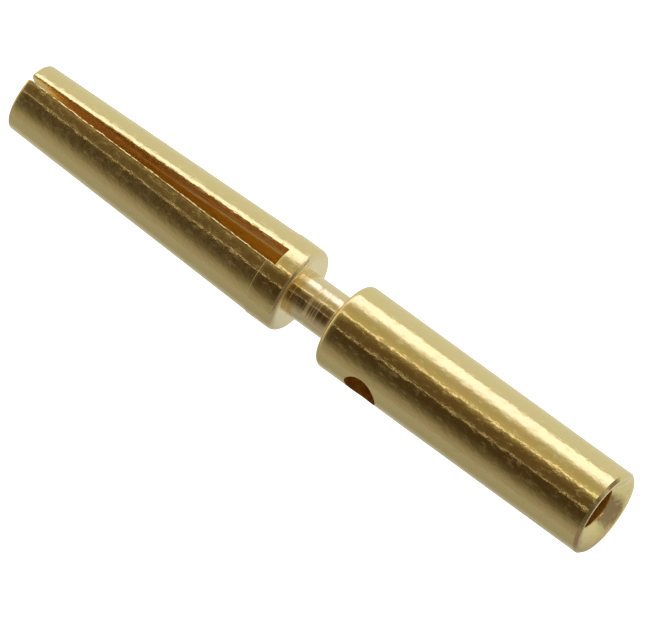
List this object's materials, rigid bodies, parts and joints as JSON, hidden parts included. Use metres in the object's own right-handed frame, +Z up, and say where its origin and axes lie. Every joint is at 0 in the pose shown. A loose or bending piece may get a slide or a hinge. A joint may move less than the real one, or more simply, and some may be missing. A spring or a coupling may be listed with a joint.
{
  "type": "crimp socket contact",
  "caption": "Turned gold-plated socket contact: slotted spring tines, a latch neck, and a crimp barrel with an inspection hole.",
  "frame": {"origin": "on the ground under the middle of the lying contact", "axes": "+X along the contact from the mating mouth to the crimp end, +Z up; the slot opens 26 degrees from +Z towards +Y"},
  "size_m": [0.0232, 0.003, 0.003],
  "materials": {
    "gold_plate": "satin gold plate over turned brass"
  },
  "bodies": {
    "root": {"socket_contact": "gold_plate"}
  },
  "joints": []
}
